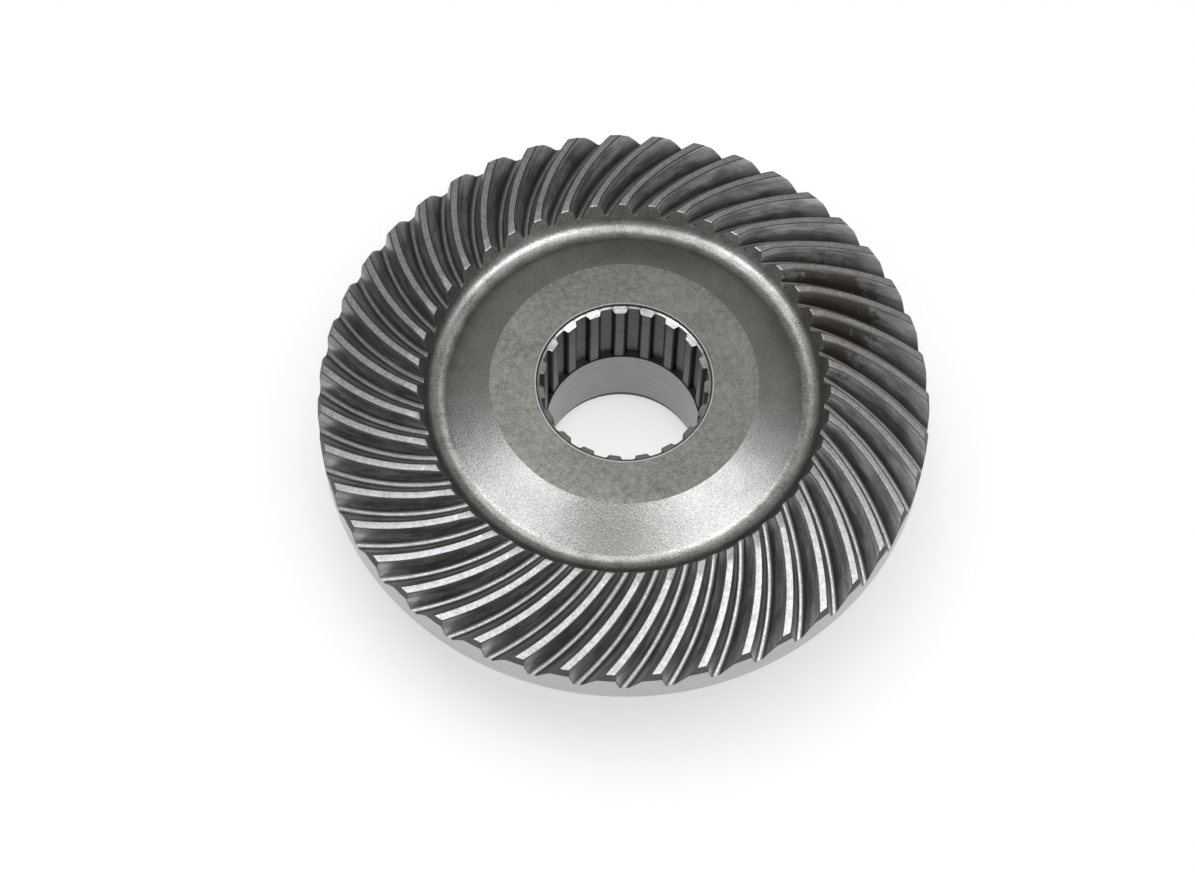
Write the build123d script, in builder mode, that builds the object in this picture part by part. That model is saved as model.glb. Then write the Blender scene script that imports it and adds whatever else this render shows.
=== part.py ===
from build123d import *
import os
from math import cos, pi, radians, sin, tan, degrees

# Spiral bevel gear: one forging, turned all over, with the teeth cut into its face.
# The origin is on the axis at the base of the rear hub, and +Z points to the toothed side.
# Lengths are in millimetres and angles in degrees.

# Blank
outer_diameter = 195.0
overall_height = 60.0
hub_face_diameter = 85.2
hub_cone_slope = 29.0
valley_radius = 4.9
back_height = 36.5
rim_chamfer = 1.0
rear_hub_diameter = 80.0
rear_hub_fillet = 5.0
base_chamfer = 1.5

# Face that the teeth are cut into
toe_tip_diameter = 130.8
toe_tip_drop = 0.8
toe_face_lean = 25.5
toe_facet_width = 4.0
toe_facet_slope = 2.5
face_slope = 13.3
heel_chamfer_width = 1.1
heel_chamfer_height = 2.5

# Teeth
tooth_count = 43
spiral_angle = 36.0
toe_slot_depth = 3.65
root_slope = 17.0
toe_land_width = 2.8
heel_land_width = 3.55
root_width = 2.25
root_fillet = 0.8
slot_azimuth = 2.0
section_count = 7
run_out = 3.0

# Bore
bore_diameter = 50.0
lead_in_length = 3.8
lead_in_angle = 15.0
spline_count = 19
spline_clearance = 0.35
spline_depth = 1.5
spline_space_width = 4.9
spline_flank_angle = 18.0
spline_length = 30.7
spline_azimuth = 8.2
entry_margin = 0.7
entry_step = 0.7
entry_slope = 24.0

outer_radius = outer_diameter / 2
toe_tip_radius = toe_tip_diameter / 2
toe_tip_height = overall_height - toe_tip_drop
crest_radius = toe_tip_radius + toe_facet_width
crest_height = toe_tip_height - toe_facet_width * tan(radians(toe_facet_slope))
heel_radius = outer_radius - heel_chamfer_width
toe_root_radius = toe_tip_radius - toe_slot_depth * tan(radians(toe_face_lean))
toe_root_height = toe_tip_height - toe_slot_depth
mean_radius = (crest_radius + heel_radius) / 2
bore_radius = bore_diameter / 2
spline_minor_radius = bore_radius + spline_clearance
spline_major_radius = spline_minor_radius + spline_depth
entry_radius = spline_major_radius + entry_margin


def face_height(radius):
    """Height of the cone through the tips of the teeth."""
    return crest_height - (radius - crest_radius) * tan(radians(face_slope))


def root_height(radius):
    """Height of the cone through the bottoms of the slots."""
    return toe_root_height - (radius - toe_root_radius) * tan(radians(root_slope))


def slot_turn(radius):
    """Azimuth of a slot's middle: it turns clockwise at a steady rate on its way outwards."""
    rate = tan(radians(spiral_angle)) / (mean_radius * cos(radians(face_slope)))
    return slot_azimuth - degrees(rate * (radius - mean_radius))


def land_width(radius):
    """Width of a tooth's tip, measured along the circle of this radius."""
    share = (radius - crest_radius) / (heel_radius - crest_radius)
    return toe_land_width + share * (heel_land_width - toe_land_width)


def valley_corner():
    """Where the hub's cone and the toe's end face would meet without the valley's fillet."""
    hub_fall = tan(radians(hub_cone_slope))
    toe_rise = 1 / tan(radians(toe_face_lean))
    hub_side = overall_height + hub_face_diameter / 2 * hub_fall
    toe_side = toe_tip_height - toe_tip_radius * toe_rise
    radius = (hub_side - toe_side) / (hub_fall + toe_rise)
    return radius, hub_side - radius * hub_fall


def slot_plane(radius):
    """Plane across a slot: x along the circle, y square to the root cone, origin on it."""
    turn = radians(slot_turn(radius))
    slope = radians(root_slope)
    along = (cos(turn) * cos(slope), sin(turn) * cos(slope), -sin(slope))
    origin = (radius * cos(turn), radius * sin(turn), root_height(radius))
    return Plane(origin=origin, x_dir=(-sin(turn), cos(turn), 0), z_dir=along)


def slot_outline(radius):
    """Corners of the slot's section there, from one open top to the other."""
    slope = radians(root_slope)
    depth = face_height(radius) - root_height(radius)
    depth /= cos(slope) + sin(slope) * tan(radians(face_slope))
    face_radius = radius + depth * sin(slope)
    opening = 2 * pi * face_radius / tooth_count - land_width(face_radius)
    flank_run = (opening - root_width) / 2 / depth
    top = depth + run_out
    half_top = root_width / 2 + flank_run * top
    half_root = root_width / 2
    return [(-half_top, top), (-half_root, 0), (half_root, 0), (half_top, top)]


def spline_outline():
    """Corners of one space of the spline, in plan and on the +X side."""
    start = spline_minor_radius - run_out
    taper = tan(radians(spline_flank_angle))
    half_mouth = spline_space_width / 2 + run_out * taper
    half_end = spline_space_width / 2 - spline_depth * taper
    return [
        (start, -half_mouth),
        (spline_major_radius, -half_end),
        (spline_major_radius, half_end),
        (start, half_mouth),
    ]


# The turned blank: hub face, cone, valley, toe end face, tooth face, rim, back and rear hub.
hub_radius = hub_face_diameter / 2
rear_hub_radius = rear_hub_diameter / 2
lead_in_radius = bore_radius + lead_in_length * tan(radians(lead_in_angle))
spline_bottom = overall_height - spline_length
entry_height = overall_height - entry_step
entry_fall = (entry_radius - spline_minor_radius) * tan(radians(entry_slope))
valley = valley_corner()
outline = [
    (spline_minor_radius, spline_bottom),
    (spline_minor_radius, entry_height - entry_fall),
    (entry_radius, entry_height),
    (entry_radius, overall_height),
    (hub_radius, overall_height),
    valley,
    (toe_tip_radius, toe_tip_height),
    (crest_radius, crest_height),
    (heel_radius, face_height(heel_radius)),
    (outer_radius, face_height(heel_radius) - heel_chamfer_height),
    (outer_radius, back_height + rim_chamfer),
    (outer_radius - rim_chamfer, back_height),
    (rear_hub_radius, back_height),
    (rear_hub_radius, base_chamfer),
    (rear_hub_radius - base_chamfer, 0),
    (lead_in_radius, 0),
    (bore_radius, lead_in_length),
    (bore_radius, spline_bottom),
]

with BuildPart() as blank:
    with BuildSketch(Plane.XZ) as section:
        with BuildLine():
            Polyline(outline, close=True)
        make_face()
        corners = section.vertices()
        fillet(corners.sort_by_distance((valley[0], 0, valley[1]))[0], radius=valley_radius)
        fillet(corners.sort_by_distance((rear_hub_radius, 0, back_height))[0], radius=rear_hub_fillet)
    revolve(axis=Axis.Z)

# The cutter of one slot, lofted through sections from inside the toe to outside the heel.
first_radius = toe_root_radius - run_out
last_radius = outer_radius + run_out
section_radii = [
    first_radius + (last_radius - first_radius) * step / (section_count - 1) for step in range(section_count)
]

with BuildPart() as slot_cutter:
    for radius in section_radii:
        with BuildSketch(slot_plane(radius)) as slot_section:
            with BuildLine():
                Polyline(slot_outline(radius), close=True)
            make_face()
            fillet(slot_section.vertices().group_by(Axis.Y)[0], radius=root_fillet)
    loft()

# The cutter of one space of the spline, from above the hub face down to the plain bore.
with BuildPart() as spline_cutter:
    with BuildSketch(Plane.XY.offset(spline_bottom)):
        with BuildLine():
            Polyline(spline_outline(), close=True)
        make_face()
    extrude(amount=spline_length + run_out)

with BuildPart() as spiral_bevel_gear:
    add(blank.part)
    with PolarLocations(0, spline_count, start_angle=spline_azimuth):
        add(spline_cutter.part, mode=Mode.SUBTRACT)
    with PolarLocations(0, tooth_count):
        add(slot_cutter.part, mode=Mode.SUBTRACT)

spiral_bevel_gear.part.label = "spiral_bevel_gear"
os.makedirs("parts", exist_ok=True)
export_step(spiral_bevel_gear.part, "parts/spiral_bevel_gear.step")
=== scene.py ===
# %% [markdown]
# # Spiral bevel ring gear
# A ring gear is one forging: it is turned all over, its teeth are cut into the face by a
# circular cutter head, and a spline is shaped into its bore. This lesson loads the exact
# solid as a frame, lays a finer skin over it with rounded edges, and gives each machined
# surface the finish that its own tool leaves.

# %% Load the frame
from math import atan2, cos, degrees, dist, hypot, pi, radians, sin, tan

import bmesh
import bpy
from mathutils import Euler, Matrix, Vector


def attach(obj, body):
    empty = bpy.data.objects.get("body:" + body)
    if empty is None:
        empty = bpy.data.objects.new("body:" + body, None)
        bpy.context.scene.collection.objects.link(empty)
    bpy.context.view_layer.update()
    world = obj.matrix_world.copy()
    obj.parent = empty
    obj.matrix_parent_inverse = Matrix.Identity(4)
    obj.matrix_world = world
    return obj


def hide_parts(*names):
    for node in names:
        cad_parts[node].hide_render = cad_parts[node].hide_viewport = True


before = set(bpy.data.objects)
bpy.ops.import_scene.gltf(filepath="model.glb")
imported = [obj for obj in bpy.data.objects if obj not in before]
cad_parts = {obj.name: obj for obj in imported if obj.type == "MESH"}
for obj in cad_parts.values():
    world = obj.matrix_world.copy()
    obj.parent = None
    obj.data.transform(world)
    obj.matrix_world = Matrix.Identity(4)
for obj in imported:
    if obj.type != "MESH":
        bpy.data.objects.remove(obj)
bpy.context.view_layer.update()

MM = 0.001

# %% [markdown]
# ## Camera
# The gear lies on its rear hub and is seen from above the near side. The camera looks down at
# about 64 degrees through a lens of about 82 mm, and it is turned by one degree.

# %% Place the camera
camera_data = bpy.data.cameras.new("camera")
camera_data.lens = 81.86
camera_data.sensor_width = 36.0
camera_data.clip_end = 20.0
camera = bpy.data.objects.new("camera", camera_data)
view_down = radians(63.8216)
view_roll = radians(1.0992)
camera.location = (-0.00812, -0.394131, 0.822266)
camera.rotation_mode = "QUATERNION"
tilt = Euler((pi / 2 - view_down, 0, 0)).to_quaternion()
camera.rotation_quaternion = tilt @ Euler((0, 0, view_roll)).to_quaternion()
bpy.context.scene.collection.objects.link(camera)
bpy.context.scene.camera = camera
bpy.context.scene.view_settings.view_transform = "Standard"
print("camera at", tuple(round(c, 3) for c in camera.location))

# %% [markdown]
# ## Sizes
# The skin follows the same sizes as the solid, in millimetres and degrees, so that every
# edge falls where the solid has it. `edge_round` is the extra: the small radius that
# deburring leaves on each corner, and which catches the light.

# %% Sizes of the blank
outer_radius = 97.5
overall_height = 60.0
hub_radius = 42.6
hub_cone_slope = radians(29.0)
valley_radius = 4.9
back_height = 36.5
rim_chamfer = 1.0
rear_hub_radius = 40.0
rear_hub_fillet = 5.0
base_chamfer = 1.5
edge_round = 0.22
turned_round = 0.3
print("blank %.0f mm across and %.0f mm high" % (2 * outer_radius, overall_height))

# %% Sizes of the toothed face
toe_tip_radius = 65.4
toe_tip_height = overall_height - 0.8
toe_depth = 3.65
toe_lean = radians(25.5)
facet_length = 4.0
facet_slope = radians(2.5)
face_slope = radians(13.3)
root_slope = radians(17.0)
chamfer_width = 1.1
chamfer_drop = 2.5
crest_radius = toe_tip_radius + facet_length
crest_height = toe_tip_height - facet_length * tan(facet_slope)
heel_radius = outer_radius - chamfer_width
heel_height = crest_height - (heel_radius - crest_radius) * tan(face_slope)
heel_fall = chamfer_drop / chamfer_width
rim_top = heel_height - chamfer_drop
toe_root_radius = toe_tip_radius - toe_depth * tan(toe_lean)
toe_root_height = toe_tip_height - toe_depth
print("rim top %.2f, toe root (%.2f, %.2f)" % (rim_top, toe_root_radius, toe_root_height))

# %% Sizes of the teeth
tooth_count = 43
pitch_angle = 2 * pi / tooth_count
spiral_angle = radians(36.0)
mean_radius = (crest_radius + heel_radius) / 2
turn_rate = tan(spiral_angle) / (mean_radius * cos(face_slope))
slot_azimuth = radians(2.0)
toe_land_width = 2.8
heel_land_width = 3.55
root_width = 2.25
root_fillet = 1.2
flank_crown = 0.28
tip_ease = 0.26
print("%d teeth, one every %.2f degrees" % (tooth_count, degrees(pitch_angle)))


def face_height(radius):
    return crest_height - (radius - crest_radius) * tan(face_slope)


def facet_height(radius):
    return crest_height - (radius - crest_radius) * tan(facet_slope)


def root_height(radius):
    return toe_root_height - (radius - toe_root_radius) * tan(root_slope)


def toe_height(radius):
    return toe_tip_height - (toe_tip_radius - radius) / tan(toe_lean)


def chamfer_height(radius):
    return heel_height - (radius - heel_radius) * heel_fall


def slot_turn(radius):
    return slot_azimuth - turn_rate * (radius - mean_radius)


# %% [markdown]
# ## One slot, from tooth to tooth
# A tooth is what stays between two slots, so the skin of one pitch runs from the middle of one
# tooth's tip, down a flank, over the slot's bottom and up to the middle of the next tip. The
# section below gives that line at any distance from the axis, always with as many points, so
# that the same point of each section makes one long line down the tooth.

# %% The section across one slot
corner_column = 2
flank_shares = [0.9, 0.76, 0.6, 0.45, 0.31]
fillet_steps = 3


def between(a, b, share):
    return a + (b - a) * share


def along(start, end, share):
    """Point of the straight line from start to end."""
    return tuple(between(p, q, share) for p, q in zip(start, end))


def eased(before, corner, after):
    """Middle of a small round that replaces a corner."""
    return tuple((p + 2 * q + r) / 4 for p, q, r in zip(before, corner, after))


def flank_line(radius):
    """Depth of the slot and how fast its half width grows with height."""
    full = (face_height(radius) - root_height(radius)) / (
        cos(root_slope) + sin(root_slope) * tan(face_slope)
    )
    face_radius = radius + full * sin(root_slope)
    share = (face_radius - crest_radius) / (heel_radius - crest_radius)
    opening = face_radius * pitch_angle - between(toe_land_width, heel_land_width, share)
    run = (opening - root_width) / 2 / full
    facet = facet_height(radius) - root_height(radius)
    facet /= cos(root_slope) + sin(root_slope) * tan(facet_slope)
    return min(full, facet), run


def half_section(radius):
    """(half width, height) from the tip's corner down to the middle of the slot."""
    top, run = flank_line(radius)
    half_root = root_width / 2
    slant = hypot(run, 1.0)
    corner = (half_root + run * top, top)
    below = (corner[0] - edge_round * run / slant, top - edge_round / slant)
    line = [corner, below]
    for share in flank_shares:
        height = share * top
        bulge = flank_crown * 4 * share * (1 - share)
        line.append((half_root + run * height - bulge, height))
    reach = root_fillet * tan((pi / 2 - atan2(run, 1.0)) / 2)
    start = (half_root + reach * run / slant, reach / slant)
    knee = (half_root, 0.0)
    end = (half_root - reach, 0.0)
    for step in range(fillet_steps + 1):
        t = step / fillet_steps
        line.append(tuple(
            (1 - t) ** 2 * a + 2 * t * (1 - t) * b + t * t * c
            for a, b, c in zip(start, knee, end)
        ))
    line.append((0.0, 0.0))
    return line


def polar(radius, azimuth, height):
    return (radius * cos(azimuth), radius * sin(azimuth), height)


# %% One section from tip to tip
def section(radius):
    """Points of the skin from one tip's middle to the next, at this root radius."""
    turn = slot_turn(radius)
    half = half_section(radius)
    tip_width, top = half[0]
    tip_reach = radius + top * sin(root_slope)
    tip_radius = hypot(tip_reach, tip_width)
    tip_height = min(face_height(tip_radius), facet_height(tip_radius))
    edge_turn = atan2(tip_width, tip_reach)
    inner_turn = between(edge_turn, pitch_angle / 2, tip_ease)
    lift = tip_height - (root_height(radius) + top * cos(root_slope))
    halves = []
    for side in (-1, 1):
        tip_middle = polar(tip_radius, turn + side * pitch_angle / 2, tip_height)
        inner = polar(tip_radius, turn + side * inner_turn, tip_height)
        edge = polar(tip_radius, turn + side * edge_turn, tip_height)
        flank = []
        for width, height in half[1:]:
            reach = radius + height * sin(root_slope)
            azimuth = turn + side * atan2(width, reach)
            z = root_height(radius) + height * cos(root_slope) + lift * height / top
            flank.append(polar(hypot(reach, width), azimuth, z))
        halves.append([tip_middle, inner, eased(inner, edge, flank[0])] + flank)
    return halves[0] + halves[1][-2::-1]


column_count = len(section(mean_radius))
flank_last = corner_column + 1 + len(flank_shares)
print("points across one pitch:", column_count)

# %% [markdown]
# ## The skin of one pitch
# Each long line starts where it leaves the toe's end face and stops where it meets the heel's
# chamfer or the rim. Those places are found by halving, once for each line, and a small round
# takes the place of the corner there. The flanks' outer corners get a wider round than the
# lands'. The turned surfaces carry on from both ends, so one grid covers the gear from its
# top face to its base.

# %% Where a line of the tooth starts and stops
halvings = 34
toe_search = (55.0, 72.0)
crest_search = (crest_radius - 6, crest_radius + 2)
heel_search = (85.0, 99.5)


def radius_of(point):
    return hypot(point[0], point[1])


def outside_toe(point):
    return point[2] > toe_height(radius_of(point))


def short_of_heel(point):
    radius = radius_of(point)
    under_chamfer = radius <= heel_radius or point[2] <= chamfer_height(radius)
    return radius <= outer_radius and under_chamfer


def short_of_crest(point):
    return radius_of(point) < crest_radius


def station(column, search, is_low):
    """Root radius at which this column's line crosses from is_low to not is_low."""
    low, high = search
    for _ in range(halvings):
        middle = (low + high) / 2
        if is_low(section(middle)[column]):
            low = middle
        else:
            high = middle
    return (low + high) / 2


station_at_crest = station(0, crest_search, short_of_crest)
toe_stations = [station(c, toe_search, outside_toe) for c in range(column_count)]
heel_stations = [station(c, heel_search, short_of_heel) for c in range(column_count)]
print("toe from %.2f to %.2f" % (min(toe_stations), max(toe_stations)))
print("heel from %.2f to %.2f" % (min(heel_stations), max(heel_stations)))


# %% Turned lines with rounded corners
def rounded(corners):
    """A line through (radius, height, corner radius, steps) with its corners rounded."""
    line = []
    for index, (r, z, corner, steps) in enumerate(corners):
        if not corner:
            line.append((r, z))
            continue
        before, after = corners[index - 1], corners[index + 1]
        a = Vector((before[0] - r, before[1] - z)).normalized()
        b = Vector((after[0] - r, after[1] - z)).normalized()
        half = a.angle(b) / 2
        centre = Vector((r, z)) + (a + b).normalized() * (corner / sin(half))
        start = Vector((r, z)) + a * (corner / tan(half)) - centre
        end = Vector((r, z)) + b * (corner / tan(half)) - centre
        sweep = start.angle_signed(end)
        for step in range(steps + 1):
            turn = sweep * step / steps
            arm = Vector((
                start.x * cos(turn) + start.y * sin(turn),
                start.y * cos(turn) - start.x * sin(turn),
            ))
            line.append((centre.x + arm.x, centre.y + arm.y))
    return line


# %% Lines inside and outside the teeth
thirds = (0.33, 0.67)
face_ring_radius = 31.0
shoulder_width = 2.5
rim_band = 6.0
base_ring_width = 4.0
hub_side = overall_height + hub_radius * tan(hub_cone_slope)
toe_side = toe_tip_height - toe_tip_radius / tan(toe_lean)
valley_bottom = (hub_side - toe_side) / (tan(hub_cone_slope) + 1 / tan(toe_lean))
valley_height = hub_side - valley_bottom * tan(hub_cone_slope)
inner_line = rounded([
    (face_ring_radius, overall_height, 0, 0),
    (hub_radius - shoulder_width, overall_height, 0, 0),
    (hub_radius, overall_height, edge_round, 2),
    (valley_bottom, valley_height, valley_radius, 9),
    (toe_tip_radius, toe_tip_height, 0, 0),
])[:-1]
cone_start = 5
cone_ends = inner_line[cone_start - 1:cone_start + 1]
inner_line[cone_start:cone_start] = [along(*cone_ends, share) for share in thirds]
outer_line = rounded([
    (outer_radius, back_height + rim_band, 0, 0),
    (outer_radius, back_height + rim_chamfer, turned_round, 2),
    (outer_radius - rim_chamfer, back_height, turned_round, 2),
    (rear_hub_radius, back_height, rear_hub_fillet, 6),
    (rear_hub_radius, base_chamfer, turned_round, 1),
    (rear_hub_radius - base_chamfer, 0.0, turned_round, 1),
    (rear_hub_radius - base_ring_width, 0.0, 0, 0),
])
print("turned rows:", len(inner_line), "and", len(outer_line))

# %% Rows at the outer end of one column
least_ease = 0.02
least_gap = 0.0001
row_gap = 0.1


def heel_points(last, stop, corner_round):
    """The five points that take one column over its outer corner and onto the rim."""
    stop_r, stop_z = radius_of(stop), stop[2]
    azimuth = atan2(stop[1], stop[0])
    slant = hypot(outer_radius - stop_r, stop_z - rim_top)
    ease = min(corner_round, slant / 3) if stop_r < outer_radius - least_gap else 0.0
    if ease > least_ease:
        down = ((outer_radius - stop_r) / slant, (rim_top - stop_z) / slant)
        after = polar(stop_r + ease * down[0], azimuth, stop_z + ease * down[1])
        edge_in = polar(outer_radius - ease * down[0], azimuth, rim_top - ease * down[1])
        edge = polar(outer_radius, azimuth, rim_top)
        edge_out = polar(outer_radius, azimuth, rim_top - ease)
        over_edge = eased(edge_in, edge, edge_out)
        return [eased(last, stop, after), after, edge_in, over_edge, edge_out]
    low = stop_z - corner_round
    after = polar(outer_radius, azimuth, low)
    below = [polar(outer_radius, azimuth, low - row_gap * step) for step in (1, 2, 3)]
    return [eased(last, stop, after), after] + below


# %% Rows of one column
toe_rows = 4
face_rows = 15
corner_reach = 0.9
heel_ease = 0.55
fillet_last = flank_last + fillet_steps


def column_rows(column):
    """Every point of one column, from the top face to the base."""
    toe, heel = toe_stations[column], heel_stations[column]
    start = section(toe)[column]
    azimuth = atan2(start[1], start[0])
    rows = [polar(r, azimuth, z) for r, z in inner_line]
    before = (
        radius_of(start) - edge_round * sin(toe_lean), start[2] - edge_round * cos(toe_lean)
    )
    middle = along(inner_line[-1], before, 0.5)
    toe_before = polar(before[0], azimuth, before[1])
    face_start = toe + edge_round * corner_reach
    toe_after = section(face_start)[column]
    rows.append(polar(middle[0], azimuth, middle[1]))
    rows += [toe_before, eased(toe_before, start, toe_after), toe_after]
    for row in range(1, toe_rows + 1):
        rows.append(section(between(face_start, station_at_crest, row / toe_rows))[column])
    on_flank = corner_column < min(column, column_count - 1 - column) < fillet_last
    heel_round = heel_ease if on_flank else edge_round
    face_end = heel - heel_round * corner_reach
    for row in range(1, face_rows + 1):
        rows.append(section(between(station_at_crest, face_end, row / face_rows))[column])
    stop = section(heel)[column]
    rows += heel_points(rows[-1], stop, heel_round)
    azimuth = atan2(stop[1], stop[0])
    rim_middle = between(rows[-1][2], outer_line[0][1], 0.5)
    rows.append(polar(outer_radius, azimuth, rim_middle))
    rows += [polar(r, azimuth, z) for r, z in outer_line]
    return rows


columns = [column_rows(c) for c in range(column_count)]
row_count = len(columns[0])
print("grid of", column_count, "by", row_count, "points")

# %% [markdown]
# ## From a flat grid to the skin
# `create_grid` makes the faces, and each of its points is then moved to its place. The copies
# of the pitch come from `spin` with duplicates, and merging the doubles closes the ring.

# %% Finishes by part of the grid
finish_names = [
    "hub_face_steel", "hub_cone_steel", "toe_face_steel", "tip_land_steel", "flank_steel",
    "root_land_steel", "heel_chamfer_steel", "rim_steel", "back_steel", "entry_steel",
    "spline_land_steel", "bore_painted_shade_steel", "spline_groove_steel", "bore_steel",
    "toe_facet_steel",
]
finish_index = {name: place for place, name in enumerate(finish_names)}
corner_rows = 3
first_cone_row = 3
first_valley_row = cone_start + len(thirds)
first_tooth_row = len(inner_line) + 1
first_face_row = first_tooth_row + corner_rows + toe_rows
last_tooth_row = first_face_row + face_rows
last_chamfer_row = last_tooth_row + corner_rows
last_rim_row = row_count - len(outer_line) + corner_rows


def finish_at(row, column):
    """Finish of the face between this row and column and the next ones."""
    side = min(column, column_count - 2 - column)
    if row < first_cone_row:
        return "hub_face_steel"
    if row < first_valley_row:
        return "hub_cone_steel"
    if row < first_tooth_row:
        return "toe_face_steel"
    if row < last_tooth_row:
        if side < 1:
            return "toe_facet_steel" if row < first_face_row else "tip_land_steel"
        return "flank_steel" if side <= fillet_last else "root_land_steel"
    if row < last_chamfer_row:
        return "heel_chamfer_steel" if side < fillet_last else "rim_steel"
    return "rim_steel" if row < last_rim_row else "back_steel"


# %% One pitch of the skin
def point_place(vert, across, down):
    """Column and row of a point of a fresh grid that spans -1 to 1."""
    return (
        round((vert.co.x + 1) / 2 * (across - 1)),
        round((vert.co.y + 1) / 2 * (down - 1)),
    )


def lengths(points):
    """How far each point is from the first, along the line through them."""
    marks = [0.0]
    for a, b in zip(points, points[1:]):
        marks.append(marks[-1] + dist(a, b))
    return marks


def make_sector(mesh, grid_columns, finish_of):
    """Moves a new grid's points to these columns and returns each column's place in the map."""
    across, down = len(grid_columns), len(grid_columns[0])
    made = bmesh.ops.create_grid(mesh, x_segments=across - 1, y_segments=down - 1, size=1.0)
    grain = mesh.loops.layers.uv.verify()
    place = {vert: point_place(vert, across, down) for vert in made["verts"]}
    spans = [lengths(column) for column in grid_columns]
    widths = lengths([column[down // 2] for column in grid_columns])
    for face in {face for vert in made["verts"] for face in vert.link_faces}:
        face.material_index = finish_index[finish_of(
            min(place[v][1] for v in face.verts), min(place[v][0] for v in face.verts)
        )]
        face.smooth = True
        for loop in face.loops:
            column, row = place[loop.vert]
            loop[grain].uv = (widths[column] * MM, spans[column][row] * MM)
    for vert, (column, row) in place.items():
        vert.co = Vector(grid_columns[column][row]) * MM
    return [width * MM for width in widths]


gear_mesh = bmesh.new()
tooth_widths = make_sector(gear_mesh, columns, finish_at)
slot_middle = tooth_widths[-1] / 2
flank_end = slot_middle - tooth_widths[corner_column]
flank_width = tooth_widths[fillet_last + 1] - tooth_widths[corner_column]
print("one pitch:", len(gear_mesh.faces), "faces, flank %.2f mm wide" % (flank_width / MM))

# %% Copies round the axis
grain_shift = 0.137
merge_distance = 0.002 * MM


def repeat_round(mesh, count):
    """Copies everything in the mesh round the gear's axis and shifts each copy's grain."""
    sector_size = len(mesh.faces)
    bmesh.ops.spin(
        mesh, geom=mesh.verts[:] + mesh.edges[:] + mesh.faces[:], cent=(0, 0, 0),
        axis=(0, 0, 1), dvec=(0, 0, 0), angle=2 * pi * (count - 1) / count,
        steps=count - 1, use_duplicate=True,
    )
    grain = mesh.loops.layers.uv.verify()
    for place, face in enumerate(mesh.faces):
        copy = place // sector_size
        for loop in face.loops:
            loop[grain].uv.y += grain_shift * copy
    bmesh.ops.remove_doubles(mesh, verts=mesh.verts[:], dist=merge_distance)


repeat_round(gear_mesh, tooth_count)
print("ring of teeth:", len(gear_mesh.faces), "faces")

# %% [markdown]
# ## Bore and spline
# The spline's spaces are shaped from the top face down to the plain bore and end in a small
# ledge there. A recess and a chamfer open the spline at the top, and a lead-in taper opens the
# bore at its lower end. One space of 19 is made and repeated as the teeth were.

# %% Sizes of the bore
bore_radius = 25.0
spline_count = 19
spline_length = 30.7
spline_depth = 1.5
spline_space_width = 4.9
spline_flank = radians(18.0)
spline_azimuth = radians(8.2)
ledge_width = 0.35
recess_width = 0.7
recess_depth = 0.7
entry_slope = radians(24.0)
lead_in_length = 3.8
lead_in_slope = radians(15.0)
bore_round = 0.16
tip_round = 0.45
tip_radius = bore_radius + ledge_width
groove_radius = tip_radius + spline_depth
spline_bottom = overall_height - spline_length
entry_radius = groove_radius + recess_width
entry_height = overall_height - recess_depth
lead_in_radius = bore_radius + lead_in_length * tan(lead_in_slope)
print("spline of %d spaces, %.1f to %.1f mm across" % (
    spline_count, 2 * tip_radius, 2 * groove_radius
))

# %% One space of the spline
tip_share = 0.22


def space_outline():
    """(radius, azimuth) across one space, from the middle of a tooth to the next."""
    half_angle = pi / spline_count
    mouth = spline_space_width / 2
    end = mouth - spline_depth * tan(spline_flank)
    mouth_turn = atan2(mouth, tip_radius)
    end_turn = atan2(end, groove_radius)
    ease = bore_round / hypot(spline_depth, mouth - end)
    land_end = (tip_radius, mouth_turn + tip_round / tip_radius)
    flank_start = (
        tip_radius + spline_depth * tip_share, between(mouth_turn, end_turn, tip_share)
    )
    half = [
        (tip_radius, half_angle),
        (tip_radius, between(half_angle, mouth_turn, 0.4)),
        land_end,
        eased(land_end, (tip_radius, mouth_turn), flank_start),
        flank_start,
        (tip_radius + spline_depth * 0.5, between(mouth_turn, end_turn, 0.5)),
        (groove_radius - spline_depth * ease * 2, between(end_turn, mouth_turn, ease * 2)),
        (groove_radius - bore_round / 2, between(end_turn, mouth_turn, 0.05)),
        (groove_radius, end_turn - bore_round * 2 / groove_radius),
        (groove_radius, end_turn / 2),
    ]
    left = [(r, -a) for r, a in half]
    return left + [(groove_radius, 0.0)] + half[::-1]


# %% One line down the bore
ring_width = 0.8
entry_round = 0.28
recess_round = 0.12
ledge_round = 0.1
seat_round = 0.08
seat_band = 5.0
lead_in_round = 0.6
base_round = 0.15


def space_rows(radius, azimuth):
    """One line down the bore, from the top face to the base."""
    turn = azimuth + spline_azimuth
    rim = entry_height - (entry_radius - radius) * tan(entry_slope)
    line = rounded([
        (entry_radius + ring_width, overall_height, 0, 0),
        (entry_radius, overall_height, entry_round, 1),
        (entry_radius, entry_height, recess_round, 1),
        (radius, rim, recess_round, 2),
        (radius, spline_bottom, 0, 0),
    ])[:-1]
    upper = line[-1][1]
    line += [(radius, between(upper, spline_bottom, share)) for share in thirds]
    line += [(radius, spline_bottom + ledge_round), (radius - ledge_round, spline_bottom)]
    line += [(bore_radius + seat_round, spline_bottom), (bore_radius, spline_bottom - seat_round)]
    line += rounded([
        (bore_radius, spline_bottom - seat_band, 0, 0),
        (bore_radius, lead_in_length, lead_in_round, 2),
        (lead_in_radius, 0.0, base_round, 1),
        (lead_in_radius + ring_width, 0.0, 0, 0),
    ])
    return [polar(r, turn, z) for r, z in line]


bore_columns = [space_rows(r, a) for r, a in space_outline()]
bore_row_count = len(bore_columns[0])
print("spline grid of", len(bore_columns), "by", bore_row_count, "points")

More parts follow.
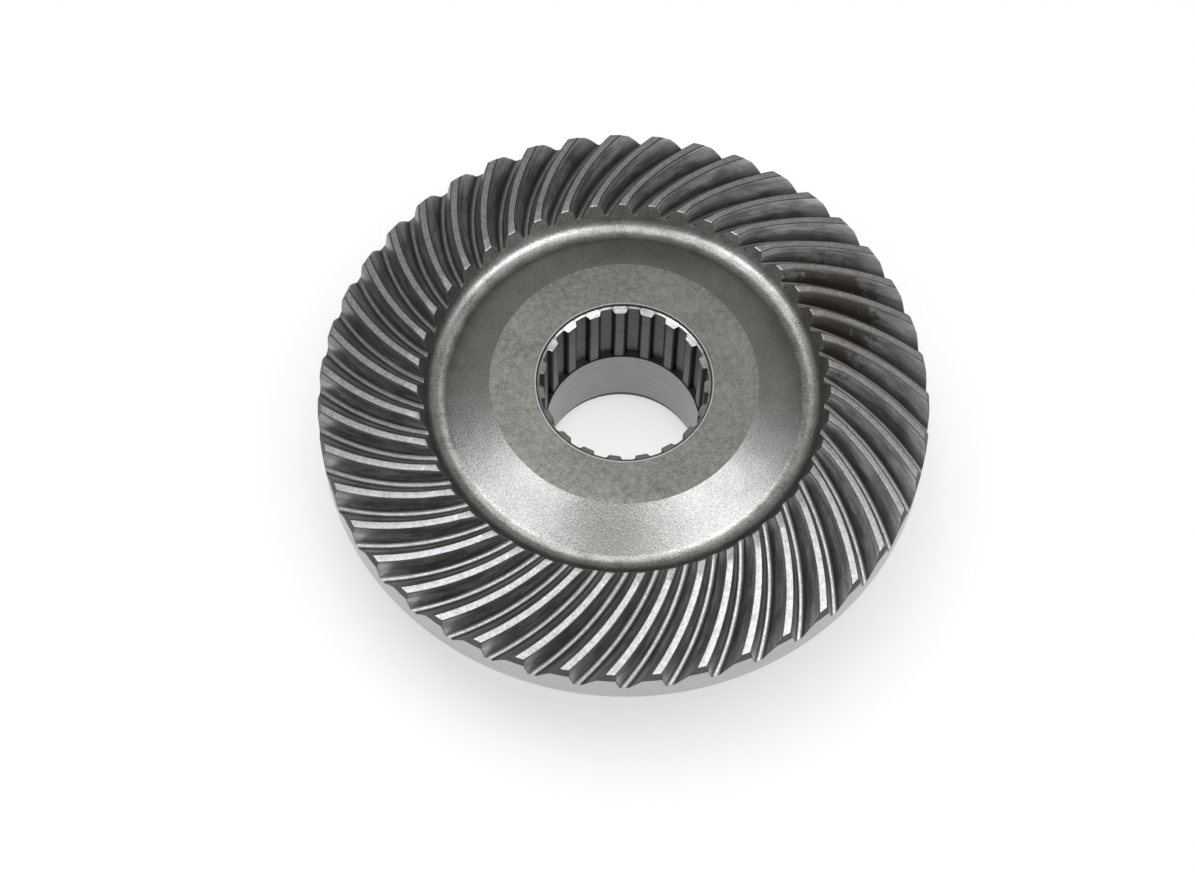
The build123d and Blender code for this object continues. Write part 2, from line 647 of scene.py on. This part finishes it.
# %% Bore skin
recess_row, entry_row, spline_row, ledge_row, seat_row = 1, 4, 7, 10, 13
lead_in_row = bore_row_count - 4
first_flank_column, first_groove_column = 2, 8


def bore_finish_at(row, column):
    """Finish of the bore's face between this row and column and the next ones."""
    side = min(column, len(bore_columns) - 2 - column)
    if row < recess_row:
        return "hub_face_steel"
    if entry_row <= row < spline_row:
        return "entry_steel"
    if spline_row <= row < ledge_row and side < first_flank_column:
        return "spline_land_steel"
    if spline_row <= row < ledge_row and side >= first_groove_column:
        return "spline_groove_steel"
    # Near-black painted shade on the spline's flanks, the recess wall, the ledge and the lead-in.
    return "bore_steel" if seat_row <= row < lead_in_row else "bore_painted_shade_steel"


bore_mesh = bmesh.new()
make_sector(bore_mesh, bore_columns, bore_finish_at)
repeat_round(bore_mesh, spline_count)
print("bore:", len(bore_mesh.faces), "faces")

# %% [markdown]
# ## Closing the skin
# The two skins meet on the flat top face and on the flat base. Each is a ring between two
# circles of edges in one plane, and `triangle_fill` closes it.

# %% Join bore and teeth
level_gap = 0.001 * MM
bore_data = bpy.data.meshes.new("bore_skin")
bore_mesh.to_mesh(bore_data)
bore_mesh.free()
gear_mesh.from_mesh(bore_data)
bpy.data.meshes.remove(bore_data)
open_edges = [edge for edge in gear_mesh.edges if edge.is_boundary]
print("open edges at first:", len(open_edges))
for height, finish in ((overall_height * MM, "hub_face_steel"), (0.0, "back_steel")):
    ring = [e for e in open_edges if all(abs(v.co.z - height) < level_gap for v in e.verts)]
    filled = bmesh.ops.triangle_fill(
        gear_mesh, use_beauty=True, use_dissolve=False, edges=ring, normal=(0, 0, 1)
    )
    faces = [piece for piece in filled["geom"] if isinstance(piece, bmesh.types.BMFace)]
    for face in faces:
        face.material_index = finish_index[finish]
        face.smooth = True
    print("filled", len(ring), "edges with", len(faces), "faces at", height)
bmesh.ops.recalc_face_normals(gear_mesh, faces=gear_mesh.faces[:])
print("open edges left:", sum(not edge.is_manifold for edge in gear_mesh.edges))

# %% The gear
sharp_angle = radians(38)
gear_data = bpy.data.meshes.new("spiral_bevel_gear_skin")
gear_mesh.to_mesh(gear_data)
print("volume in mm3: %.0f" % (gear_mesh.calc_volume(signed=True) / MM ** 3))
print("triangles:", sum(len(face.verts) - 2 for face in gear_mesh.faces))
gear_mesh.free()
gear = bpy.data.objects.new("gear_skin", gear_data)
bpy.context.scene.collection.objects.link(gear)
weighted = gear.modifiers.new("flat_faces_stay_flat", "WEIGHTED_NORMAL")
weighted.mode = "FACE_AREA"
weighted.weight = 60
weighted.keep_sharp = True
gear_data.set_sharp_from_angle(angle=sharp_angle)
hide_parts("spiral_bevel_gear")
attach(gear, "root")

# %% [markdown]
# ## Shader helper
# A finish is written as arithmetic on sockets. `Value` wraps a socket and overloads the
# operators. `Nodes.node` makes any other node: settings first, then the sockets. A `Finish`
# is a material with its Principled shader, and the world's nodes are made in the same way.


# %% Value
class Value:
    """A socket of a tree. Arithmetic on it adds Math nodes."""

    def __init__(self, nodes, socket):
        self.nodes, self.socket = nodes, socket

    def math(self, operation, first, second=0.5):
        return self.nodes.node("ShaderNodeMath", {"operation": operation}, {0: first, 1: second})

    def __add__(self, other):
        return self.math("ADD", self, other)

    __radd__ = __add__

    def __sub__(self, other):
        return self.math("SUBTRACT", self, other)

    def __rsub__(self, other):
        return self.math("SUBTRACT", other, self)

    def __mul__(self, other):
        return self.math("MULTIPLY", self, other)

    __rmul__ = __mul__

    def __truediv__(self, other):
        return self.math("DIVIDE", self, other)

    def __rtruediv__(self, other):
        return self.math("DIVIDE", other, self)

    def __pow__(self, other):
        return self.math("POWER", self, other)

    def distance(self):
        return self.math("ABSOLUTE", self)

    def clamp(self):
        return self.nodes.node(
            "ShaderNodeClamp", {"clamp_type": "MINMAX"}, {"Min": 0.0, "Max": 1.0, "Value": self}
        )

    def step(self, low, high):
        """0 below low, 1 above high, and a smooth ramp between them."""
        return self.nodes.node(
            "ShaderNodeMapRange", {"interpolation_type": "SMOOTHSTEP"},
            {"Value": self, "From Min": low, "From Max": high},
        )

    def contrast(self, gain):
        """Spreads a noise that stays near one half over the range 0 to 1."""
        return ((self - 0.5) * gain + 0.5).clamp()


# %% Nodes
class Nodes:
    """The nodes of a material or of the world."""

    def __init__(self, tree):
        self.tree = tree

    def node(self, kind, settings=None, inputs=None, output=0):
        made = self.tree.nodes.new(kind)
        for name, value in (settings or {}).items():
            setattr(made, name, value)
        for name, value in (inputs or {}).items():
            self.feed(made.inputs[name], value)
        return Value(self, made.outputs[output])

    def feed(self, socket, value):
        if isinstance(value, Value):
            self.tree.links.new(value.socket, socket)
        else:
            socket.default_value = value

    def seen(self):
        """1 for a ray that the camera sees, straight, mirrored or through glass."""
        camera_ray, glossy_ray, glass_ray = [
            self.node("ShaderNodeLightPath", output="Is %s Ray" % kind)
            for kind in ("Camera", "Glossy", "Transmission")
        ]
        return (camera_ray + glossy_ray + glass_ray).clamp()


# %% Finish
class Finish(Nodes):
    """A material with one Principled shader, built from the values given to it."""

    def __init__(self, name):
        self.material = bpy.data.materials.new(name)
        self.material.use_nodes = True
        super().__init__(self.material.node_tree)
        self.shader = self.tree.nodes["Principled BSDF"]
        self.spot = self.node("ShaderNodeTexCoord", output="Object")

    def part(self, vector, axis):
        return self.node("ShaderNodeSeparateXYZ", inputs={0: vector}, output=axis)

    def radius(self):
        """Distance from the gear's axis, in metres."""
        x, y = self.part(self.spot, "X"), self.part(self.spot, "Y")
        return (x * x + y * y) ** 0.5

    def colour(self, factor, first, second):
        """Mix of two colours, each a link or a plain (red, green, blue)."""
        first, second = [c if isinstance(c, Value) else (*c, 1.0) for c in (first, second)]
        return self.node(
            "ShaderNodeMix", {"data_type": "RGBA"}, {0: factor, 6: first, 7: second}, 2
        )

    def noise(self, scale=1.0, detail=3.0, rough=0.5, vector=None):
        """Noise on the gear's own coordinates, or on the vector given."""
        return self.node("ShaderNodeTexNoise", {"noise_dimensions": "3D"}, {
            "Vector": vector or self.spot, "Scale": scale, "Detail": detail, "Roughness": rough,
        })

    def bump(self, height, distance, strength):
        return self.node("ShaderNodeBump", None, {
            "Height": height, "Distance": distance, "Strength": strength,
        })

    def set(self, **values):
        """Feeds sockets of the Principled shader, with _ for a space in a name."""
        for name, value in values.items():
            if isinstance(value, tuple):
                value = (*value, 1.0)
            self.feed(self.shader.inputs[name.replace("_", " ")], value)
        print(self.material.name, "has", len(self.tree.nodes), "nodes")


# %% [markdown]
# ## Turned and blasted steel
# The hub face was turned and then left with the mottled grey of hard steel: faint rings from
# the lathe, cloudy patches and fine dark specks. The cone and the valley were blasted with
# fine shot, so they are even, satin and slightly green. Both patterns read the object's own
# coordinates. Rings use the distance from the axis, which is why they follow the lathe.

# %% Marks on turned surfaces
height_share = 0.4


def turned(finish, across, around):
    """Vector whose noise is fine across a lathe's rings and long around them."""
    radius = finish.radius()
    x, y, z = [finish.part(finish.spot, axis) for axis in "XYZ"]
    return finish.node("ShaderNodeCombineXYZ", inputs={
        0: x / radius * around, 1: y / radius * around, 2: (radius + z * height_share) * across,
    })


# %% Hub face
hub_face = Finish("hub_face_steel")
mottle = hub_face.noise(scale=520.0, detail=4.0, rough=0.68)
grit = hub_face.noise(scale=2300.0, detail=2.0, rough=0.6)
rings = hub_face.noise(detail=2.0, vector=turned(hub_face, across=1900.0, around=4.0))
cloud = hub_face.noise(scale=60.0, detail=2.0)
face_tone = (mottle * 0.32 + grit * 0.48 + rings * 0.06 + cloud * 0.14).contrast(4.2)
specks = hub_face.noise(scale=900.0, detail=2.0, rough=0.7).step(0.66, 0.74)
print("patterns of the hub face:", len(hub_face.tree.nodes), "nodes")

# %% Colour of the hub face
face_dark, face_light = (0.054, 0.056, 0.047), (0.168, 0.171, 0.155)
painted_highlight_colour, speck_and_shade_colour = (0.25, 0.25, 0.235), (0.05, 0.05, 0.042)
# By the bore's entry the face has a painted dark edge, then a painted highlight ring, then a
# painted shade ring.
face_reach = hub_face.radius() - entry_radius * MM
painted_entry_shade = 1.0 - face_reach.step(0.0003, 0.0004)
painted_highlight_ring = face_reach.step(0.0004, 0.0005) * (1.0 - face_reach.step(0.0008, 0.0009))
painted_shade_ring = face_reach.step(0.0009, 0.001) * (1.0 - face_reach.step(0.0011, 0.0013))
face_colour = hub_face.colour(face_tone, face_dark, face_light)
# The light ring by the entry is a painted highlight.
face_colour = hub_face.colour(painted_highlight_ring * 0.7, face_colour, painted_highlight_colour)
# The specks are the steel's own; the dark edge and the dark ring by the entry are painted shade.
marks = (specks * 0.3 + painted_shade_ring * 0.4 + painted_entry_shade).clamp()
hub_face.set(
    Base_Color=hub_face.colour(marks, face_colour, speck_and_shade_colour),
    Roughness=0.42 - face_tone * 0.08, Metallic=1.0,
    Normal=hub_face.bump(mottle * 0.5 + grit * 0.5, distance=0.00004, strength=0.7),
)

# %% Hub cone
cone_dark, cone_light = (0.088, 0.093, 0.083), (0.15, 0.155, 0.142)
hub_cone = Finish("hub_cone_steel")
cone_shot = hub_cone.noise(scale=1700.0, detail=2.0, rough=0.65)
cone_patch = hub_cone.noise(scale=120.0, detail=2.0)
cone_tone = (cone_shot * 0.8 + cone_patch * 0.2).contrast(2.9)
hub_cone.set(
    Base_Color=hub_cone.colour(cone_tone, cone_dark, cone_light),
    Roughness=0.34, Metallic=1.0, Anisotropic=0.5,
    Normal=hub_cone.bump(cone_shot, distance=0.00008, strength=0.9),
)

# %% Valley and toe face
toe_dark, toe_light = (0.078, 0.08, 0.072), (0.175, 0.178, 0.165)
toe_face = Finish("toe_face_steel")
toe_shot = toe_face.noise(scale=1900.0, detail=2.0, rough=0.65)
toe_patch = toe_face.noise(scale=150.0)
toe_tone = (toe_shot * 0.65 + toe_patch * 0.35).contrast(4.0)
toe_face.set(
    Base_Color=toe_face.colour(toe_tone, toe_dark, toe_light), Roughness=0.31, Metallic=1.0,
    Normal=toe_face.bump(toe_shot, distance=0.00006, strength=0.9),
)

# %% [markdown]
# ## Teeth
# The tip lands are bare, bright and finely speckled, and so are the slots' narrow bottoms. The
# flanks are dark from their coating, with smears that run along the tooth where the pinion has
# wiped them. Towards the slot's bottom they are darkened by painted shade, and at the heel a
# painted highlight lightens them. A thin dark line of painted shade under each tip's edge keeps
# the land's outline crisp. Along one stretch at the toe, an oil stain has browned the flanks.
# The patterns along a tooth read the skin's own map, which runs across the slot and along it
# in metres.


# %% Tip and root lands
def land_finish(name, dark, light, roughness):
    land = Finish(name)
    grit = land.noise(scale=2400.0, detail=2.0, rough=0.7)
    blotch = land.noise(scale=700.0, detail=2.0)
    tone = (grit * 0.7 + blotch * 0.3).contrast(3.4)
    land.set(
        Base_Color=land.colour(tone, dark, light), Roughness=roughness, Metallic=1.0,
        Normal=land.bump(grit, distance=0.00004, strength=0.7),
    )


land_finish("tip_land_steel", (0.105, 0.105, 0.101), (0.235, 0.235, 0.23), 0.35)
land_finish("toe_facet_steel", (0.1, 0.1, 0.095), (0.26, 0.26, 0.25), 0.32)
land_finish("root_land_steel", (0.08, 0.08, 0.077), (0.2, 0.2, 0.195), 0.38)


# %% Smears on the flanks
def smear(finish, across, along_tooth, detail, rough):
    """Noise on the skin's map, with one scale across the slot and one along the tooth."""
    grain = finish.node("ShaderNodeUVMap")
    stretched = finish.node("ShaderNodeVectorMath", {"operation": "MULTIPLY"}, {
        0: grain, 1: (across, along_tooth, 0.0),
    })
    return finish.noise(detail=detail, rough=rough, vector=stretched)


flank = Finish("flank_steel")
streaks = smear(flank, across=1100.0, along_tooth=55.0, detail=3.0, rough=0.6)
smears = smear(flank, across=260.0, along_tooth=30.0, detail=2.0, rough=0.5)
blotches = smear(flank, across=330.0, along_tooth=120.0, detail=3.0, rough=0.6).contrast(5.0)
flank_grit = flank.noise(scale=1700.0, detail=2.0, rough=0.6)
print("patterns of the flanks:", len(flank.tree.nodes), "nodes")

# %% Tone of the flanks
across_slot = flank.part(flank.node("ShaderNodeUVMap"), "X")
up_flank = (across_slot - slot_middle).distance() / flank_end
# Darker towards the slot's bottom: painted shade.
above_painted_root_shade = up_flank.step(0.12, 0.3)
wiped = up_flank.step(0.25, 0.5) * (1.0 - up_flank.step(0.6, 0.92))
# A dark line along each tip's edge: painted shade.
painted_tip_edge_shade = up_flank.step(0.95, 0.985)
# Lighter near the heel: a painted highlight.
painted_heel_highlight = flank.radius().step(0.0885, 0.096)
flank_tone = (streaks * 0.4 + smears * 0.35 + flank_grit * 0.25).contrast(3.4)
flank_tone = flank_tone * 0.5 + wiped * smears.contrast(2.4) * 0.5
# Painted highlight at the heel.
flank_tone = (flank_tone * (blotches * 0.75 + 0.4) + painted_heel_highlight * 0.3).clamp()
# Painted shade towards the slot's bottom.
flank_tone = flank_tone * (above_painted_root_shade * 0.8 + 0.2)
print("tone of the flanks:", len(flank.tree.nodes), "nodes")

# %% Oil stain and colour of the flanks
flank_dark, flank_light = (0.038, 0.04, 0.0375), (0.355, 0.367, 0.343)
# The first colour is the painted shade under the tips' edges; the second is the oil stain.
painted_edge_shade_colour, oil_colour = (0.012, 0.012, 0.012), (0.03, 0.023, 0.015)
stain_centre, stain_squash = (0.0655, 0.0275), 0.55
stain_x = flank.part(flank.spot, "X") - stain_centre[0]
stain_y = flank.part(flank.spot, "Y") - stain_centre[1]
stain_reach = (stain_x * stain_x + stain_y * stain_y * stain_squash) ** 0.5
stain_edge = flank.noise(scale=300.0, detail=3.0, rough=0.65) * 0.03
stain = 1.0 - (stain_reach + stain_edge).step(0.026, 0.033)
flank_colour = flank.colour(flank_tone, flank_dark, flank_light)
# Painted shade along the tips' edges.
flank_colour = flank.colour(painted_tip_edge_shade * 0.9, flank_colour, painted_edge_shade_colour)
flank.set(
    Base_Color=flank.colour(stain * 0.85, flank_colour, oil_colour),
    Roughness=0.46 - flank_tone * 0.1, Metallic=0.75,
    Normal=flank.bump(streaks * 0.5 + flank_grit * 0.5, distance=0.00003, strength=0.7),
)

# %% [markdown]
# ## Heel, rim, back and bore
# The chamfer under each tip is as dark as the flanks. The rim, the back and the rear hub are
# turned bright. In the bore, the broached spline has bright tooth ends at its chamfered entry
# and grey tips and grooves, and the plain seat below is ground. The spline's flanks, the recess
# wall, the ledge and the lead-in taper are near-black with painted shade.


# %% Turned and plain surfaces
def turned_finish(name, dark, light, roughness):
    steel = Finish(name)
    rings = steel.noise(detail=2.0, vector=turned(steel, across=1600.0, around=3.0))
    grit = steel.noise(scale=1500.0, detail=2.0, rough=0.6)
    tone = (rings * 0.45 + grit * 0.55).contrast(2.4)
    steel.set(
        Base_Color=steel.colour(tone, dark, light), Roughness=roughness, Metallic=1.0,
        Normal=steel.bump(rings * 0.5 + grit * 0.5, distance=0.00002, strength=0.5),
    )


turned_finish("heel_chamfer_steel", (0.06, 0.06, 0.058), (0.11, 0.11, 0.107), 0.45)
turned_finish("rim_steel", (0.39, 0.39, 0.387), (0.48, 0.48, 0.477), 0.48)
turned_finish("back_steel", (0.24, 0.24, 0.235), (0.33, 0.33, 0.325), 0.46)
turned_finish("entry_steel", (0.085, 0.086, 0.08), (0.2, 0.2, 0.192), 0.34)
turned_finish("spline_land_steel", (0.075, 0.075, 0.076), (0.17, 0.17, 0.171), 0.42)
# Near-black painted shade for the spline's flanks and the bore's recess, ledge and lead-in.
turned_finish("bore_painted_shade_steel", (0.012, 0.012, 0.012), (0.034, 0.034, 0.034), 0.5)
turned_finish("spline_groove_steel", (0.07, 0.07, 0.071), (0.15, 0.15, 0.151), 0.46)
turned_finish("bore_steel", (0.225, 0.223, 0.228), (0.31, 0.307, 0.315), 0.36)
for name in finish_names:
    gear_data.materials.append(bpy.data.materials[name])
print("finishes:", len(gear_data.materials))

# %% [markdown]
# ## Floor and light
# The gear stands on a pale floor in soft light from one large lamp overhead. Metal shows what
# is round it, so four cards add what the near side mirrors: a broad one on each side, a narrow
# warm one between them and a small one for the tips at the far left. A card is a lamp that is
# hidden from diffuse light, so it brightens metal and leaves the shadow alone. The far slopes
# see only the pale room. The floor is half shaded paper and half its own glow, which keeps
# the shadow light.

# %% Floor
floor_glow = 0.56
paper_white = (0.47, 0.47, 0.47)
floor_mesh = bmesh.new()
bmesh.ops.create_grid(floor_mesh, x_segments=1, y_segments=1, size=3.0)
floor_data = bpy.data.meshes.new("floor")
floor_mesh.to_mesh(floor_data)
floor_mesh.free()
floor = bpy.data.objects.new("floor", floor_data)
bpy.context.scene.collection.objects.link(floor)
paper = Finish("floor_paper")
paper.set(
    Base_Color=paper_white, Roughness=1.0, Emission_Color=(1.0, 1.0, 1.0),
    Emission_Strength=paper.seen() * floor_glow,
)
floor_data.materials.append(paper.material)

# %% Room
room_light = 0.45
world = bpy.data.worlds.new("room")
bpy.context.scene.world = world
world.use_nodes = True
room = Nodes(world.node_tree)
background = room.tree.nodes["Background"]
background.inputs["Color"].default_value = (1.0, 1.0, 1.0, 1.0)
room.feed(background.inputs["Strength"], room.seen() * (1.0 - room_light) + room_light)
print("room:", len(room.tree.nodes), "nodes")

# %% Lamps and cards
gear_middle = Vector((0, 0, 0.05))
cool = (1.0, 0.95, 1.05)
warm = (1.0, 0.85, 0.75)


def add_lamp(name, place, size, radiance, tint=(1.0, 1.0, 1.0), card=False):
    """A flat lamp that faces the gear. A card shows in metal and lights nothing else."""
    data = bpy.data.lights.new(name, "AREA")
    data.shape = "RECTANGLE"
    data.size, data.size_y = size
    data.energy = radiance * pi * size[0] * size[1]
    data.color = tint
    lamp = bpy.data.objects.new(name, data)
    lamp.location = place
    lamp.rotation_mode = "QUATERNION"
    lamp.rotation_quaternion = (gear_middle - Vector(place)).to_track_quat("-Z", "Y")
    lamp.visible_diffuse = not card
    bpy.context.scene.collection.objects.link(lamp)


add_lamp("overhead_lamp", (-0.02, -0.02, 1.2), size=(1.15, 0.65), radiance=3.5)
add_lamp("left_card", (-0.78, -0.38, 1.1), (0.8, 0.75), radiance=9.5, tint=cool, card=True)
add_lamp("right_card", (0.7, -0.38, 1.1), (0.9, 0.75), radiance=10.0, tint=cool, card=True)
add_lamp("corner_card", (-0.5, 0.34, 1.15), (0.2, 0.28), radiance=4.5, card=True)
add_lamp("warm_card", (0.06, -0.7, 1.1), (0.12, 0.4), radiance=3.0, tint=warm, card=True)
